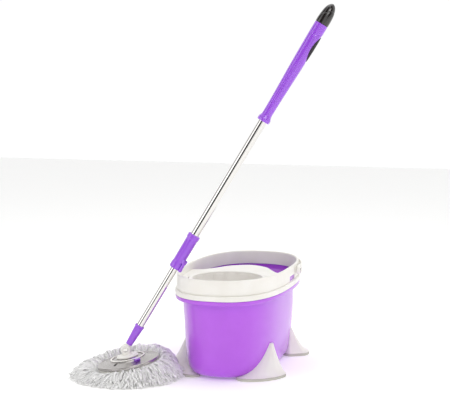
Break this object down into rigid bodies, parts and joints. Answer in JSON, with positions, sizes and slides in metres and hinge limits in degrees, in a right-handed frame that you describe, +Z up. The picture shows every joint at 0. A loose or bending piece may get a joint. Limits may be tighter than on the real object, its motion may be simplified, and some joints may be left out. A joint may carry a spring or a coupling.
{
  "type": "spin mop",
  "caption": "Spin mop leaning on its oval wringing bucket, with a spinning basket, folding carry handle, pressing pole and microfibre head.",
  "frame": {"origin": "centre of the bounding box on the ground that the bucket's soles and the mop's yarn stand on", "axes": "+Z up, +Y along the bucket's long axis from its basket end to its water end, +X to the bucket's right"},
  "size_m": [0.6408, 0.6284, 0.9167],
  "materials": {
    "purple_plastic": "glossy moulded polypropylene",
    "white_plastic": "satin moulded polypropylene",
    "grey_rubber": "soft moulded sole",
    "dark_plastic": "glossy moulded ABS",
    "dark_rubber": "soft overmould",
    "stainless_steel": "polished stainless tube",
    "silver_plate": "spun stainless plate",
    "nylon": "unpainted nylon",
    "microfibre": "fluffy chenille yarn"
  },
  "bodies": {
    "bucket": {"bucket_shell": "purple_plastic", "leg_front_right": "white_plastic", "sole_front_right": "grey_rubber", "leg_front_left": "white_plastic", "sole_front_left": "grey_rubber", "leg_back_right": "white_plastic", "sole_back_right": "grey_rubber", "leg_back_left": "white_plastic", "sole_back_left": "grey_rubber", "splash_collar": "white_plastic", "handle_pin_right": "stainless_steel", "handle_pin_left": "stainless_steel", "basket_pedestal": "white_plastic", "spindle_pin": "stainless_steel"},
    "basket": {"spin_basket": "white_plastic", "basket_cap": "white_plastic", "spindle_bush": "nylon"},
    "handle": {"carry_handle": "white_plastic"},
    "mop_yarn": {"strand_pile": "microfibre", "strand_ring": "white_plastic"},
    "plate": {"mop_plate": "silver_plate", "plate_trim_ring": "white_plastic"},
    "tab": {"release_tab": "purple_plastic"},
    "hub": {"hub_swivel": "white_plastic", "hub_clip": "stainless_steel", "knee_pin": "stainless_steel"},
    "lower_pole": {"pole_knuckle": "white_plastic", "pole_socket": "purple_plastic", "lower_tube": "stainless_steel", "clutch_housing": "nylon"},
    "nut": {"drive_nut": "nylon"},
    "upper_pole": {"upper_tube": "stainless_steel", "rod_anchor": "nylon", "drive_rod": "stainless_steel", "lock_sleeve": "purple_plastic", "lever_pin": "stainless_steel", "grip": "purple_plastic", "thumb_pad": "dark_rubber", "end_cap": "dark_plastic"},
    "lever": {"lock_lever": "white_plastic"}
  },
  "joints": [
    {"name": "basket_spin", "type": "hinge", "parent": "bucket", "child": "basket", "pos_m": [0.05271, -0.04779, 0.18], "axis": [0, 0, 1], "continuous": true},
    {"name": "handle_swing", "type": "hinge", "parent": "bucket", "child": "handle", "pos_m": [0.05271, 0.11321, 0.24], "axis": [1, 0, 0], "range_deg": [0, 100]},
    {"name": "mop_lift", "type": "slide", "parent": "bucket", "child": "mop_yarn", "axis": [-0.1658, -0.0518, 0.9848], "range_m": [0, 0.3]},
    {"name": "yarn_pull", "type": "slide", "parent": "mop_yarn", "child": "plate", "axis": [-0.174, -0.0543, 0.9833], "range_m": [0, 0.04]},
    {"name": "tab_press", "type": "slide", "parent": "plate", "child": "tab", "axis": [-0.7611, 0.6409, -0.0993], "range_m": [0, 0.0025], "stiffness_N_per_m": 200},
    {"name": "head_swivel", "type": "hinge", "parent": "plate", "child": "hub", "pos_m": [-0.16189, -0.18586, 0.04417], "axis": [-0.174, -0.0543, 0.9833], "range_deg": [-270, 0]},
    {"name": "pole_tilt", "type": "hinge", "parent": "hub", "child": "lower_pole", "pos_m": [-0.16679, -0.18739, 0.0719], "axis": [0.298, -0.9546, 0], "range_deg": [0, 115]},
    {"name": "pole_press", "type": "slide", "parent": "lower_pole", "child": "upper_pole", "axis": [0.4902, 0.1531, 0.8581], "range_m": [-0.15, 0]},
    {"name": "nut_spin", "type": "hinge", "parent": "lower_pole", "child": "nut", "pos_m": [-0.16679, -0.18739, 0.0719], "axis": [0.4902, 0.1531, 0.8581], "range_deg": [0, 905]},
    {"name": "lever_flip", "type": "hinge", "parent": "upper_pole", "child": "lever", "pos_m": [-0.02341, -0.15538, 0.2902], "axis": [-0.3266, -0.8805, 0.3436], "range_deg": [0, 70]}
  ],
  "couplings": [
    {"joint": "nut_spin", "follows": "pole_press", "rad_per_m": -104.72}
  ]
}
